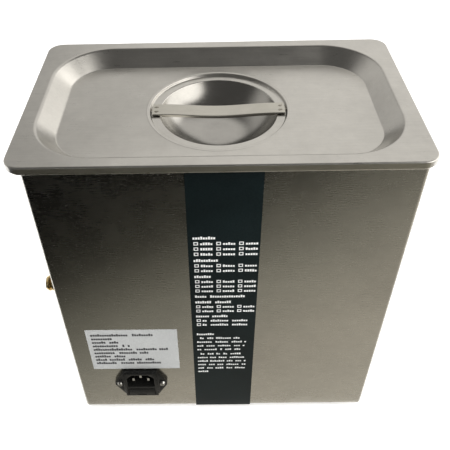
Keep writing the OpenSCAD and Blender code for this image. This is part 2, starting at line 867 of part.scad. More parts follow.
module outlet_barb() {
    flange_t = 3;
    thread_r = 6.9;
    thread_len = 6.6;
    ridge_pitch = 3.4;
    ridge_count = 4;
    ridge_start = outlet_reach - ridge_count * ridge_pitch;
    inner_x = side_x - sheet;
    placed() color(brass) difference() {
        union() {
            translate([drain_x, valve_y + 14, drain_z]) bar_y(hose_out_r, outlet_y - valve_y - 14);
            translate([drain_x, outlet_y, drain_z]) sphere(hose_out_r);
            translate([drain_x, outlet_y, drain_z]) bar_x(hose_out_r, inner_x - flange_t - drain_x + 0.1);
            translate([inner_x - flange_t, outlet_y, drain_z]) rotate([0, 90, 0])
                cylinder(h = flange_t, r = 12, $fn = 6);
            translate([inner_x - 0.1, outlet_y, drain_z]) bar_x(thread_r, thread_len);
            translate([side_x, outlet_y, drain_z]) rotate([0, 90, 0]) rotate_extrude() polygon(concat(
                [[0, 0], [neck_r, 0]],
                [[neck_r, ridge_start]],
                [for (p = ridges(ridge_start, ridge_count, ridge_pitch)) [p[1], p[0]]],
                [[0, outlet_reach]]
            ));
        }
        translate([drain_x, valve_y + 13, drain_z]) bar_y(6, 8);
        translate([drain_x, valve_y + 20, drain_z]) bar_y(drain_bore_r, outlet_y - valve_y - 20);
        translate([drain_x, outlet_y, drain_z]) sphere(drain_bore_r);
        translate([drain_x, outlet_y, drain_z]) bar_x(drain_bore_r, side_x + outlet_reach - drain_x + 1);
    }
}

module outlet_locknut() {
    placed() color(brass) translate([side_x, outlet_y, drain_z]) rotate([0, 90, 0])
        hex_nut(19, 6.9, 4.5);
}

// ---------- lid ----------

// Section of the dish, r against depth below the tray's floor: ledge, bowl and the bowl's floor
function dish_section(out) = let (
    bend = bowl_bend_r + out,
    rim_turn = acos((bowl_bend_r - bowl_depth + out) / bend)
) concat(
    [[dish_r + out, 0], [dish_r - dish_draft + out, -dish_step - out]],
    [for (i = [0:9]) let (turn = rim_turn * (1 - i / 9)) [
        bowl_floor_r + bend * sin(turn),
        bowl_bend_r - bowl_depth - dish_step - bend * cos(turn)
    ]],
    [[0, -dish_step - bowl_depth - out]]
);

module lid_pan() {
    floor_inset = tray_run + 1;
    floor_w = tray_w - 2 * floor_inset;
    floor_d = tray_d - 2 * floor_inset;
    full = tray_depth + sheet;
    inner = dish_section(0);
    outer = dish_section(sheet);
    over_tank() color(steel) translate([0, 0, total_h]) {
        translate([0, 0, -sheet]) linear_extrude(sheet) difference() {
            rounded_rect(lid_w, lid_d, lid_corner_r);
            rounded_rect(tray_w, tray_d, tray_corner_r);
        }
        translate([0, 0, -lip_h]) linear_extrude(lip_h) rect_wall(lid_w, lid_d, lid_corner_r, sheet);
        swept_frame(tray_w, tray_d, tray_corner_r) polygon([
            [0, 0], [wall_across, 0], [wall_across - full * tray_slope, -full],
            [-tray_run - 2, -full], [-tray_run - 2, -tray_depth], [-tray_run, -tray_depth]
        ]);
        translate([0, 0, -full]) linear_extrude(sheet) difference() {
            rounded_rect(floor_w, floor_d, tray_corner_r - floor_inset);
            circle(dish_r + sheet / 2);
        }
        translate([0, 0, -tray_depth]) rotate_extrude()
            polygon(concat(inner, [for (i = [len(outer) - 1:-1:0]) outer[i]]));
    }
}

// A sagging bar: its top is an arc that spans half_span each side of the middle
module sagging_bar(half_span, t, w) {
    arc_r = (grip_straight * grip_straight + grip_sag * grip_sag) / (2 * grip_sag);
    translate([0, 0, ledge_z + grip_gap + grip_t - grip_sag + arc_r]) rotate([90, 0, 0])
        linear_extrude(w, center = true) intersection() {
            difference() {
                circle(arc_r + t);
                circle(arc_r);
            }
            translate([-half_span, -arc_r - 10]) square([2 * half_span, 20]);
        }
}

module lid_grip() {
    under = ledge_z + grip_gap;
    end_r = dish_r - dish_draft - 0.6;
    pad = 7;
    hem_t = 2.4;
    hem_w = 1.4;
    over_tank() color(steel) {
        sagging_bar(grip_straight, grip_t, grip_w);
        // Hems rolled under both long edges
        for (y = [-1, 1]) translate([0, y * (grip_w - hem_w) / 2, 0])
            sagging_bar(grip_straight - 3, hem_t, hem_w);
        intersection() {
            for (x = [-1, 1]) {
                translate([x * (grip_straight + 5) - 5.1, -grip_w / 2, under]) cube([10.2, grip_w, grip_t]);
                translate([x * (end_r - 4) - pad / 2, -pad / 2, ledge_z]) cube([pad, pad, grip_gap + 0.1]);
            }
            translate([0, 0, ledge_z - 1]) cylinder(h = 30, r = end_r);
        }
    }
}

// ---------- basket ----------

module basket() {
    slot = 5;
    pitch = 12;
    foot_x_in = 70;
    foot_y_in = 40;
    foot_drop = basket_z - tank_floor_z - 0.3;
    over_tank() color(steel) translate([0, 0, basket_z]) {
        difference() {
            linear_extrude(basket_h) rounded_rect(basket_w, basket_d, basket_r);
            translate([0, 0, basket_wall]) linear_extrude(basket_h)
                rounded_rect(basket_w - 2 * basket_wall, basket_d - 2 * basket_wall, basket_r - basket_wall);
            for (col = [-7:7]) translate([col * pitch, 0, basket_h / 2 + 2]) {
                cube([slot, basket_d + 4, basket_h - 20], center = true);
                translate([0, 0, -basket_h / 2 - 2]) cube([slot, basket_d - 28, 4], center = true);
            }
            for (row = [-3:3]) translate([0, row * pitch, basket_h / 2 + 2])
                cube([basket_w + 4, slot, basket_h - 20], center = true);
        }
        translate([0, 0, basket_h - 3]) linear_extrude(3)
            rect_wall(basket_w + 3, basket_d + 3, basket_r + 1.5, 1.6);
        for (x = [-1, 1], y = [-1, 1])
            translate([x * foot_x_in, y * foot_y_in, -foot_drop]) cylinder(h = foot_drop + 0.1, r = 2);
    }
}

module basket_handles() {
    span = 56;
    corner = 10;
    foot = basket_z + basket_h - 22;
    inside_x = basket_w / 2 - basket_wall - wire_r - 0.05;
    over_tank() color(steel) for (x = [-1, 1]) {
        for (y = [-1, 1]) translate([x * inside_x, y * span / 2, foot])
            cylinder(h = handle_top - foot - corner, r = wire_r);
        for (y = [-1, 1]) translate([x * inside_x, y * (span / 2 - corner), handle_top - corner])
            rotate([90, 0, 90]) rotate(y > 0 ? 0 : 90) rotate_extrude(angle = 90)
                translate([corner, 0]) circle(wire_r);
        translate([x * inside_x, -span / 2 + corner, handle_top]) bar_y(wire_r, span - 2 * corner);
    }
}

case_shell();
base_plate();
base_screws();
feet();
foot_screws();
tank();
tank_gasket();
transducer_horns();
piezo_rings();
piezo_electrodes();
transducer_backs();
transducer_bolts();
heater_pads();
temperature_sensor();
generator_board();
board_spacers();
board_screws();
heatsink();
power_transistors();
output_transformer();
capacitors();
relays();
earth_stud();
mains_wires();
transducer_wires();
control_board();
tact_switches();
display_module();
display_window();
front_strip();
button_start();
button_heat();
button_time_up();
button_time_down();
button_temp_up();
button_temp_down();
inlet_housing();
inlet_pins();
inlet_screws();
inlet_nuts();
fuse_drawer();
fuse();
rear_strip();
rating_label();
drain_fitting();
drain_nut();
drain_hose();
valve_body();
valve_seats();
valve_ball();
valve_stem();
drain_lever();
outlet_barb();
outlet_locknut();
lid_pan();
lid_grip();
basket();
basket_handles();
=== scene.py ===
import json
import math
import random

import bmesh
import bpy
from mathutils import Matrix, Vector

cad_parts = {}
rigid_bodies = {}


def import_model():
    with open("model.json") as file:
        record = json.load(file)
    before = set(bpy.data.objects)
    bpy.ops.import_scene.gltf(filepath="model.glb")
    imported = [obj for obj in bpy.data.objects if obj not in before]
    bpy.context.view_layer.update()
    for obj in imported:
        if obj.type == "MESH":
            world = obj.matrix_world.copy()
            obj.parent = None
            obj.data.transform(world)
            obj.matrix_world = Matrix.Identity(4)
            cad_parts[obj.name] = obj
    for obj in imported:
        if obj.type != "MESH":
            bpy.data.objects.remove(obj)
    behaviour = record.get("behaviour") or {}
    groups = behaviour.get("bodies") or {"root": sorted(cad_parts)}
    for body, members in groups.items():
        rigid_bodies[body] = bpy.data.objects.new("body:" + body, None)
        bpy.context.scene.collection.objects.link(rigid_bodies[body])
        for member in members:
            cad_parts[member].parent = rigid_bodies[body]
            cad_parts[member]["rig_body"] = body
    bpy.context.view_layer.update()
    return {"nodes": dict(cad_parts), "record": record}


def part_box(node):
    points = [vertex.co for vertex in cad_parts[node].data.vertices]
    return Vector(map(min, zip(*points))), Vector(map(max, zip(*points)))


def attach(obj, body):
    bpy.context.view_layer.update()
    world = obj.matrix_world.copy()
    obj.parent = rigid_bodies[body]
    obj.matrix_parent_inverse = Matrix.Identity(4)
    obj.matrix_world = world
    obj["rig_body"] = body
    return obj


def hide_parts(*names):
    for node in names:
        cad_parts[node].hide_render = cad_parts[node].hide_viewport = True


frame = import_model()
NODES = frame["nodes"]
SLOT_OF = {part["node"]: part["material_slot"] for part in frame["record"]["subparts"]}

# ---------- sizes shared by several pieces, in metres ----------
MM = 0.001
SHEET = 0.8 * MM  # thickness of the lid's sheet
lid_low, lid_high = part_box("lid_pan")
case_low, case_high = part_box("case_shell")
LID_X = (lid_low.x + lid_high.x) / 2
LID_TOP = lid_high.z
LID_HALF_W = (lid_high.x - lid_low.x) / 2
LID_HALF_D = (lid_high.y - lid_low.y) / 2
LID_CORNER = 12 * MM
LIP = 5 * MM
FLANGE_X = 12.5 * MM  # flat border of the lid at its short ends
FLANGE_Y = 10.4 * MM  # and along its long sides
TRAY_DEPTH = 12 * MM
TRAY_RUN = 12.3 * MM  # how far the tray's wall leans in
TRAY_CORNER = 45 * MM
DISH_R = 52.5 * MM
DISH_STEP = 2.2 * MM  # from the tray's floor down to the dish's ledge
DISH_DRAFT = 0.8 * MM
BOWL_R = 45 * MM
BOWL_FLOOR_R = 12 * MM
BOWL_DEPTH = 20 * MM
BOWL_BEND_R = ((BOWL_R - BOWL_FLOOR_R) ** 2 + BOWL_DEPTH ** 2) / (2 * BOWL_DEPTH)
GRIP_W = 14.7 * MM
TANK_EDGE_Z = 311 * MM  # lower edge of the tank's flange
PRINT = 0.05 * MM  # how far printed marks stand proud

# ---------- pieces that are picked out by name ----------
KEYS = {
    "button_start": "dot", "button_heat": "dot", "button_time_up": "up", "button_time_down": "down",
    "button_temp_up": "up", "button_temp_down": "down",
}
ROUNDED = {  # node: width of its rounded edges, in mm
    "inlet_housing": 0.35, "fuse_drawer": 0.3, "feet": 0.5, "drain_lever": 0.6, "front_strip": 0.3,
    **{key: 0.4 for key in KEYS},
}


# ---------- materials ----------
class Recipe:
    """A node material under construction."""

    def __init__(self, name):
        self.mat = bpy.data.materials.new(name)
        self.mat.use_nodes = True
        self.tree = self.mat.node_tree
        self.shader = self.tree.nodes["Principled BSDF"]
        self.place = self.add("ShaderNodeTexCoord").outputs["Object"]

    def add(self, kind, inputs=None, **settings):
        """A new node, with each input linked to a socket or set to a value."""
        node = self.tree.nodes.new(kind)
        for key, value in settings.items():
            setattr(node, key, value)
        for key, value in (inputs or {}).items():
            if isinstance(value, bpy.types.NodeSocket):
                self.tree.links.new(value, node.inputs[key])
            else:
                node.inputs[key].default_value = value
        return node

    def noise(self, scale, detail=4.0, rough=0.6):
        """Noise stretched by scale, in cycles per metre along each axis."""
        at = self.add("ShaderNodeMapping", {"Vector": self.place, "Scale": scale})
        return self.add("ShaderNodeTexNoise", {
            "Vector": at.outputs["Vector"], "Scale": 1.0, "Detail": detail, "Roughness": rough,
        }).outputs["Fac"]

    def span(self, value, low, high, start=0.3, end=0.7):
        """Maps start to end onto low to high."""
        return self.add("ShaderNodeMapRange", {
            "Value": value, "From Min": start, "From Max": end, "To Min": low, "To Max": high,
        }).outputs["Result"]

    def ramp(self, value, *stops):
        """A colour from (position, colour) stops."""
        node = self.add("ShaderNodeValToRGB", {"Fac": value})
        elements = node.color_ramp.elements
        while len(elements) < len(stops):
            elements.new(0.5)
        for element, (position, colour) in zip(elements, stops):
            element.position = position
            element.color = (*colour, 1)
        return node.outputs["Color"]

    def scaled(self, colour, factor):
        """The colour times a factor."""
        node = self.add("ShaderNodeVectorMath", {0: colour}, operation="SCALE")
        self.tree.links.new(factor, node.inputs["Scale"])
        return node.outputs["Vector"]

    def wire(self, socket, name):
        """Links a socket to one of the shader's own."""
        self.tree.links.new(socket, self.shader.inputs[name])

    def relief(self, height, strength, depth, under=None):
        """A normal bent by a height, on top of the normal under."""
        inputs = {"Height": height, "Strength": strength, "Distance": depth}
        if under:
            inputs["Normal"] = under
        return self.add("ShaderNodeBump", inputs).outputs["Normal"]

    def fix(self, **values):
        """Sets the shader's own sockets to constants."""
        for key, value in values.items():
            self.shader.inputs[key.replace("_", " ")].default_value = value


def grained(name, dark, light, grain=(400, 400, 400), rough=(0.35, 0.5), bump=0.15, depth=0.15 * MM,
            worn=(0.85, 1.12), cloud=14, **fixed):
    """A surface with a fine grain in its colour, gloss and relief, and slow changes of tone over it."""
    r = Recipe(name)
    fine = r.noise(grain)
    slow = r.noise((cloud,) * 3, 3.0, 0.55)
    r.wire(r.scaled(r.ramp(fine, (0.35, dark), (0.65, light)), r.span(slow, *worn)), "Base Color")
    r.wire(r.span(fine, *rough), "Roughness")
    r.wire(r.relief(fine, bump, depth), "Normal")
    r.fix(**fixed)
    return r.mat


def sheet_steel(name, tint, grain, rough, streak=0.06, waves=0.25, polished_and_shaded=None):
    """Ground stainless sheet: long fine grinding lines, cloudy patches, faint smears and a slight waviness.

    polished_and_shaded is (x, radius): the sheet is smoother inside that upright cylinder, whose axis
    stands on the Y = 0 line, and its colour is darker there as painted shade.
    """
    r = Recipe(name)
    lines = r.noise(grain, 5.0, 0.7)
    patches = r.noise((11, 11, 11), 4.0, 0.6)
    smears = r.noise((46, 46, 46), 3.0, 0.5)
    low = tuple(c * (1 - streak) for c in tint)
    high = tuple(min(1, c * (1 + streak)) for c in tint)
    mottle = r.noise((110, 110, 160), 5.0, 0.75)
    colour = r.scaled(r.ramp(lines, (0.3, low), (0.7, high)), r.span(patches, 0.91, 1.07))
    colour = r.scaled(colour, r.span(mottle, 0.965, 1.035, 0.35, 0.65))
    gloss = r.add("ShaderNodeMath", {0: r.span(lines, rough[0], rough[1]), 1: r.span(smears, -0.02, 0.03)},
                  operation="ADD").outputs["Value"]
    if polished_and_shaded:
        middle_x, radius = polished_and_shaded
        # smoother inside the cylinder; dark is painted shade that multiplies the colour there
        smooth, dark, fade = 0.72, 0.70, 1 * MM
        flat = r.add("ShaderNodeVectorMath", {0: r.place, 1: (1, 1, 0)}, operation="MULTIPLY")
        away = r.add("ShaderNodeVectorMath", {0: flat.outputs["Vector"], 1: (middle_x, 0, 0)},
                     operation="DISTANCE")
        share = r.span(away.outputs["Value"], smooth, 1.0, radius, radius + fade)
        gloss = r.add("ShaderNodeMath", {0: gloss, 1: share}, operation="MULTIPLY").outputs["Value"]
        # painted shade: the colour inside the bowl is darkened
        colour = r.scaled(colour, r.span(share, dark, 1.0, smooth, 1.0))
    r.wire(colour, "Base Color")
    r.wire(gloss, "Roughness")
    wavy = r.relief(patches, waves, 1.2 * MM)
    r.wire(r.relief(lines, 0.10, 0.05 * MM, wavy), "Normal")
    r.fix(Metallic=1.0)
    return r.mat


def plated_metal(name, tint, rough, grain=(500, 500, 500)):
    """Plated or turned metal with fine tool marks."""
    dark = tuple(c * 0.82 for c in tint)
    return grained(name, dark, tint, grain, rough, bump=0.12, depth=0.06 * MM, worn=(0.8, 1.1), cloud=60,
                   Metallic=1.0)


def printed_board(name):
    """Green solder mask over faint copper tracks."""
    r = Recipe(name)
    tracks = r.add("ShaderNodeTexBrick", {
        "Vector": r.place, "Color1": (0.02, 0.16, 0.06, 1), "Color2": (0.03, 0.20, 0.08, 1),
        "Mortar": (0.06, 0.30, 0.12, 1), "Scale": 60.0, "Mortar Size": 0.03,
    })
    r.wire(tracks.outputs["Color"], "Base Color")
    r.wire(r.span(r.noise((300, 300, 300)), 0.25, 0.4), "Roughness")
    r.fix(Coat_Weight=0.5)
    return r.mat


def smoked_window(name):
    """Dark red plastic over a lit display."""
    r = Recipe(name)
    slow = r.noise((90, 90, 90))
    r.wire(r.ramp(slow, (0.3, (0.36, 0.008, 0.008)), (0.7, (0.44, 0.014, 0.010))), "Base Color")
    r.wire(r.span(slow, 0.03, 0.06), "Roughness")
    r.fix(Transmission_Weight=0.85, IOR=1.49)
    return r.mat


def glass(name):
    """Clear glass with a slight green cast."""
    r = Recipe(name)
    tone = r.ramp(r.noise((200, 200, 200)), (0.3, (0.85, 0.88, 0.86)), (0.7, (0.95, 0.97, 0.96)))
    r.wire(tone, "Base Color")
    r.wire(r.span(r.noise((400, 400, 400)), 0.02, 0.08), "Roughness")
    r.fix(Transmission_Weight=0.9, IOR=1.5)
    return r.mat


def lit_segments(name):
    """The glow of a red display's bars."""
    r = Recipe(name)
    glow = r.ramp(r.noise((900, 900, 900)), (0.2, (0.9, 0.05, 0.02)), (0.8, (1.0, 0.12, 0.05)))
    r.wire(glow, "Base Color")
    r.wire(glow, "Emission Color")
    r.fix(Emission_Strength=9.0, Roughness=0.5)
    return r.mat


MATERIALS = {  # by the record's material slots
    "steel": sheet_steel("ground_steel", (0.61, 0.59, 0.535), (90, 90, 1500), (0.24, 0.29),
                         streak=0.025, waves=0.03),
    "plated": plated_metal("nickel_plate", (0.78, 0.77, 0.74), (0.14, 0.28)),
    "brass": plated_metal("turned_brass", (0.80, 0.60, 0.28), (0.18, 0.34), (900, 120, 120)),
    "aluminium": plated_metal("turned_aluminium", (0.78, 0.78, 0.79), (0.25, 0.4), (120, 120, 900)),
    "back_steel": plated_metal("machined_steel", (0.36, 0.36, 0.37), (0.35, 0.5), (120, 120, 900)),
    "rubber": grained("matt_rubber", (0.012, 0.012, 0.012), (0.03, 0.03, 0.03), rough=(0.6, 0.8), bump=0.3),
    "dark_film": grained("printed_film", (0.0022, 0.0065, 0.0072), (0.0045, 0.0105, 0.0115),
                         (700, 700, 700), (0.32, 0.42), bump=0.1, depth=0.04 * MM, worn=(0.8, 1.3),
                         Specular_IOR_Level=0.18),
    "label": grained("label_paper", (0.40, 0.41, 0.41), (0.47, 0.48, 0.475), (900, 900, 900), (0.45, 0.55),
                     bump=0.1, depth=0.05 * MM, worn=(0.92, 1.04), cloud=24, Coat_Weight=0.15),
    "black_plastic": grained("moulded_black", (0.004, 0.004, 0.004), (0.010, 0.010, 0.009),
                             (1200, 1200, 1200), (0.16, 0.26), bump=0.12, depth=0.04 * MM,
                             Specular_IOR_Level=0.2),
    "ceramic": grained("fired_ceramic", (0.22, 0.20, 0.18), (0.32, 0.30, 0.27), rough=(0.4, 0.6)),
    "heater": grained("silicone_mat", (0.42, 0.14, 0.05), (0.60, 0.24, 0.10), (700, 700, 40),
                      (0.5, 0.7), bump=0.5),
    "board": printed_board("circuit_board"),
    "core": grained("ferrite_core", (0.05, 0.05, 0.05), (0.12, 0.11, 0.10), rough=(0.5, 0.7)),
    "sleeve_blue": grained("capacitor_sleeve", (0.02, 0.05, 0.20), (0.03, 0.08, 0.28), rough=(0.2, 0.35)),
    "relay": grained("relay_case", (0.02, 0.12, 0.34), (0.03, 0.17, 0.42), rough=(0.3, 0.45)),
    "wire": grained("wire_cover", (0.32, 0.05, 0.03), (0.45, 0.09, 0.05), rough=(0.3, 0.45)),
    "silicone": grained("silicone_hose", (0.62, 0.60, 0.52), (0.80, 0.78, 0.70), rough=(0.35, 0.5),
                        Transmission_Weight=0.15),
    "ptfe": grained("seat_ring", (0.75, 0.75, 0.72), (0.85, 0.85, 0.83), rough=(0.4, 0.55)),
    "lever": grained("dipped_vinyl", (0.015, 0.015, 0.016), (0.03, 0.03, 0.03), rough=(0.35, 0.5), bump=0.25),
    "display": smoked_window("display_window"),
    "led": grained("display_block", (0.02, 0.02, 0.02), (0.05, 0.05, 0.05), rough=(0.4, 0.6)),
    "key_green": grained("green_key", (0.02, 0.20, 0.06), (0.03, 0.26, 0.08), rough=(0.25, 0.4)),
    "key_red": grained("red_key", (0.34, 0.02, 0.015), (0.44, 0.035, 0.025), rough=(0.25, 0.4)),
    "key_grey": grained("grey_key", (0.26, 0.27, 0.28), (0.34, 0.35, 0.36), rough=(0.3, 0.45)),
    "glass": glass("fuse_glass"),
}
# lid steel: its bowl is smoother and darkened by painted shade
LID_STEEL = sheet_steel("lid_steel", (0.66, 0.645, 0.61), (40, 700, 700), (0.27, 0.36),
                        streak=0.04, waves=0.2, polished_and_shaded=(LID_X, BOWL_R - 0.5 * MM))
# the lip's steel: rougher, with painted shade in its darker olive tint
LIP_SHADED_STEEL = sheet_steel("lip_steel_painted_shade", (0.50, 0.48, 0.40), (40, 700, 700), (0.46, 0.56), streak=0.04, waves=0.2)
GRIP_STEEL = sheet_steel("grip_steel", (0.64, 0.62, 0.56), (30, 900, 900), (0.30, 0.42), waves=0.1)
WELD_STEEL = grained("weld_metal", (0.30, 0.28, 0.24), (0.66, 0.62, 0.54), (900, 900, 900), (0.35, 0.6),
                     bump=0.6, depth=0.2 * MM, Metallic=1.0)
WHITE_INK = grained("white_ink", (0.62, 0.63, 0.62), (0.78, 0.79, 0.78), (900, 900, 900), (0.5, 0.6))
BLACK_INK = grained("black_ink", (0.02, 0.02, 0.022), (0.05, 0.05, 0.055), (900, 900, 900), (0.5, 0.6))
LIT_RED = lit_segments("lit_segments")


# ---------- mesh tools ----------
def piece(name, bm, material, body, sharp=35, replaces=()):
    """Makes an object from a bmesh and fixes it to a body of the frame."""
    mesh = bpy.data.meshes.new(name)
    bm.to_mesh(mesh)
    bm.free()
    mesh.materials.clear()
    mesh.materials.append(material)
    mesh.shade_smooth()
    mesh.set_sharp_from_angle(angle=math.radians(sharp))
    obj = bpy.data.objects.new(name, mesh)
    bpy.context.scene.collection.objects.link(obj)
    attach(obj, body)
    if replaces:
        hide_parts(*replaces)
    return obj


def modify(obj, kind, **settings):
    """Adds a modifier to an object and bakes it into its mesh."""
    modifier = obj.modifiers.new(kind, kind)
    for key, value in settings.items():
        setattr(modifier, key, value)
    shape = obj.evaluated_get(bpy.context.evaluated_depsgraph_get())
    old = obj.data
    obj.data = bpy.data.meshes.new_from_object(shape)
    obj.modifiers.clear()
    bpy.data.meshes.remove(old)


def filleted(points, steps=6, margin=0.3 * MM):
    """A line of (x, y, radius) with its corners rounded, and a point just before and after each bend."""
    line = [Vector(points[0][:2])]
    for before, corner, after in zip(points, points[1:], points[2:]):
        at = Vector(corner[:2])
        back = (Vector(before[:2]) - at).normalized()
        on = (Vector(after[:2]) - at).normalized()
        half = back.angle(on) / 2
        reach = corner[2] / math.tan(half)
        centre = at + (back + on).normalized() * corner[2] / math.sin(half)
        start = at + back * reach
        sweep = (math.pi - 2 * half) * (1 if back.cross(on) < 0 else -1)
        line.append(start + back * margin)
        line += [centre + Matrix.Rotation(sweep * i / steps, 2) @ (start - centre) for i in range(steps + 1)]
        line.append(at + on * (reach + margin))
    line.append(Vector(points[-1][:2]))
    return line


def rounded_loop(half_w, half_d, r, z, corner_steps=16, side_steps=6):
    """Points round a rounded rectangle about the lid's middle; loops of any size match point for point."""
    arcs = []
    for quarter, (sx, sy) in enumerate([(1, 1), (-1, 1), (-1, -1), (1, -1)]):
        middle = Vector((LID_X + sx * (half_w - r), sy * (half_d - r), z))
        arcs.append([
            middle + r * Vector((math.cos(a), math.sin(a), 0))
            for a in (math.pi / 2 * (quarter + i / corner_steps) for i in range(corner_steps + 1))
        ])
    loop = []
    for arc, following in zip(arcs, arcs[1:] + arcs[:1]):
        loop += arc
        loop += [arc[-1].lerp(following[0], i / side_steps) for i in range(1, side_steps)]
    return loop


def circle_loop(r, z, count=144):
    """Points round a circle about the lid's middle."""
    turns = [2 * math.pi * i / count for i in range(count)]
    return [Vector((LID_X + r * math.cos(t), r * math.sin(t), z)) for t in turns]


def add_loops(bm, loops, close=False):
    """Skins a list of matching loops with quads and returns the rings of vertices."""
    rings = [[bm.verts.new(p) for p in loop] for loop in loops]
    for a, b in zip(rings, rings[1:]):
        for i in range(len(a)):
            j = (i + 1) % len(a)
            bm.faces.new((a[i], a[j], b[j], b[i]))
    if close:
        bm.faces.new(rings[-1])
    return rings


def ring_edges(bm, ring):
    """The edges that join a closed ring of vertices."""
    return [bm.edges.get((a, b)) for a, b in zip(ring, ring[1:] + ring[:1])]


def rounded_copy(node, width, sharp=35):
    """Stands for a CAD node with the same shape and softly rounded edges."""
    source = NODES[node]
    bm = bmesh.new()
    bm.from_mesh(source.data)
    bmesh.ops.remove_doubles(bm, verts=bm.verts, dist=1e-6)
    bmesh.ops.dissolve_limit(bm, angle_limit=math.radians(0.5), verts=bm.verts, edges=bm.edges)
    edges = [e for e in bm.edges if len(e.link_faces) == 2 and e.calc_face_angle() > math.radians(sharp)]
    bmesh.ops.bevel(bm, geom=edges, offset=width, segments=2, profile=0.5, affect="EDGES", clamp_overlap=True)
    slot = SLOT_OF[node]
    return piece(node + "_rounded", bm, MATERIALS[slot], source["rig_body"], replaces=[node])


def raised_boxes(name, boxes, material, body):
    """One mesh of thin blocks, each given by its low and high corner."""
    bm = bmesh.new()
    for low, high in boxes:
        middle = (Vector(low) + Vector(high)) / 2
        size = Vector(high) - Vector(low)
        matrix = Matrix.Translation(middle) @ Matrix.Diagonal((*size, 1))
        bmesh.ops.create_cube(bm, size=1.0, matrix=matrix)
    return piece(name, bm, material, body)


# ---------- lid ----------
def lid_loops():
    """The lid's sheet from the foot of its lip, over the flange and down the tray's wall to its floor."""
    edge, shoulder, foot = 1.1 * MM, 3.5 * MM, 1.5 * MM  # radii of the bends
    floor_margin = 4 * MM
    line = filleted([
        (0, -LIP, 0), (0, 0, edge), (FLANGE_X, 0, shoulder),
        (FLANGE_X + TRAY_RUN, -TRAY_DEPTH, foot), (FLANGE_X + TRAY_RUN + floor_margin, -TRAY_DEPTH, 0),
    ], 7)
    loops = []
    for inset, z in line:
        if inset < FLANGE_X / 2:
            corner = LID_CORNER - inset
            inset_y = inset
        else:
            corner = TRAY_CORNER + FLANGE_X - inset
            inset_y = inset + FLANGE_Y - FLANGE_X
        loops.append(rounded_loop(LID_HALF_W - inset, LID_HALF_D - inset_y, corner, LID_TOP + z))
    return loops


def dish_loops():
    """The round dish: a low bead round it, the step down to its ledge, and the bowl inside."""
    floor_z = LID_TOP - TRAY_DEPTH
    rim_turn = math.acos((BOWL_BEND_R - BOWL_DEPTH) / BOWL_BEND_R)
    bowl_steps = 20
    bowl = [
        (BOWL_FLOOR_R + BOWL_BEND_R * math.sin(t), BOWL_BEND_R * (1 - math.cos(t)) - BOWL_DEPTH - DISH_STEP)
        for t in (rim_turn * (1 - i / bowl_steps) for i in range(1, bowl_steps + 1))
    ]
    step_bend, rim_bend = 0.8 * MM, 1.0 * MM
    line = filleted([
        (DISH_R + 1.2 * MM, 0, 0), (DISH_R, 0, step_bend), (DISH_R - DISH_DRAFT, -DISH_STEP, step_bend),
        (BOWL_R, -DISH_STEP, rim_bend), (*bowl[0], 0),
    ], 5)
    bead_r, bead_w, bead_h, bead_steps = DISH_R + 2.9 * MM, 1.6 * MM, 0.12 * MM, 6
    bead = [
        Vector((bead_r - bead_w * i / bead_steps, bead_h * math.sin(math.pi * i / bead_steps) ** 2))
        for i in range(bead_steps)
    ]
    floor = [Vector((r * MM, bowl[-1][1])) for r in (8, 3)]
    line = bead + line + [Vector(p) for p in bowl[1:]] + floor
    return [circle_loop(r, floor_z + z) for r, z in line]


def lid_sheet():
    """The pressed lid, one sheet thick; its lip has rougher steel whose darker olive colour is painted shade.
    """
    steep, lip_band = 0.3, 0.5 * MM
    bm = bmesh.new()
    tray = add_loops(bm, lid_loops())
    dish = add_loops(bm, dish_loops(), close=True)
    bmesh.ops.triangle_fill(bm, use_beauty=True, edges=ring_edges(bm, tray[-1]) + ring_edges(bm, dish[0]),
                            normal=(0, 0, 1))
    obj = piece("lid_sheet", bm, LID_STEEL, "lid", replaces=["lid_pan"])
    obj.data.materials.append(LIP_SHADED_STEEL)
    # faces of the lip take the second material, whose darker olive colour is painted shade
    for face in obj.data.polygons:
        x, y, z = face.center
        past_edge = max(abs(x - LID_X) - LID_HALF_W, abs(y) - LID_HALF_D)
        if abs(face.normal.z) < steep and z < LID_TOP and past_edge > -lip_band:
            face.material_index = 1
    modify(obj, "SOLIDIFY", thickness=SHEET, offset=-1, use_even_offset=True)
    obj.data.set_sharp_from_angle(angle=math.radians(35))


def grip_section(hem):
    """Section of the grip's strap as (y, z): flat on top, its long edges rolled under by hem."""
    half = GRIP_W / 2
    roll = 1.4 * MM
    thick = 1.0 * MM
    corners = [
        (0, thick, 0), (half, thick, 0.65 * MM), (half, -hem, 0.6 * MM), (half - roll, -hem, 0.4 * MM),
        (half - roll, 0, 0.1 * MM), (0, 0, 0),
    ]
    right = filleted(corners, 4, 0.05 * MM)
    return right + [Vector((-y, z)) for y, z in reversed(right)]


def grip_strap():
    """The strap across the dish: it sags between the ledges it stands on, and its hems end before them."""
    rest_z = LID_TOP - TRAY_DEPTH - DISH_STEP + 0.8 * MM
    straight = 43 * MM
    end = 50.6 * MM
    half_sag = 1.0 * MM
    hem_full, hem_least, hem_fade = 1.4 * MM, 0.12 * MM, 3 * MM
    count = 48
    bm = bmesh.new()
    sections = []
    for i in range(count + 1):
        x = -end + 2 * end * i / count
        inside = min(1, abs(x) / straight)
        sag = half_sag * (1 + math.cos(math.pi * inside))
        hem = hem_full * min(1, max(0, (straight + 2 * MM - abs(x)) / hem_fade)) + hem_least
        sections.append([bm.verts.new((LID_X + x, y, rest_z - sag + z)) for y, z in grip_section(hem)])
    for a, b in zip(sections, sections[1:]):
        for i in range(len(a)):
            j = (i + 1) % len(a)
            bm.faces.new((a[i], a[j], b[j], b[i]))
    bm.faces.new(reversed(sections[0]))
    bm.faces.new(sections[-1])
    bmesh.ops.recalc_face_normals(bm, faces=bm.faces)
    piece("grip_strap", bm, GRIP_STEEL, "lid", replaces=["lid_grip"])
    grip_welds(rest_z)


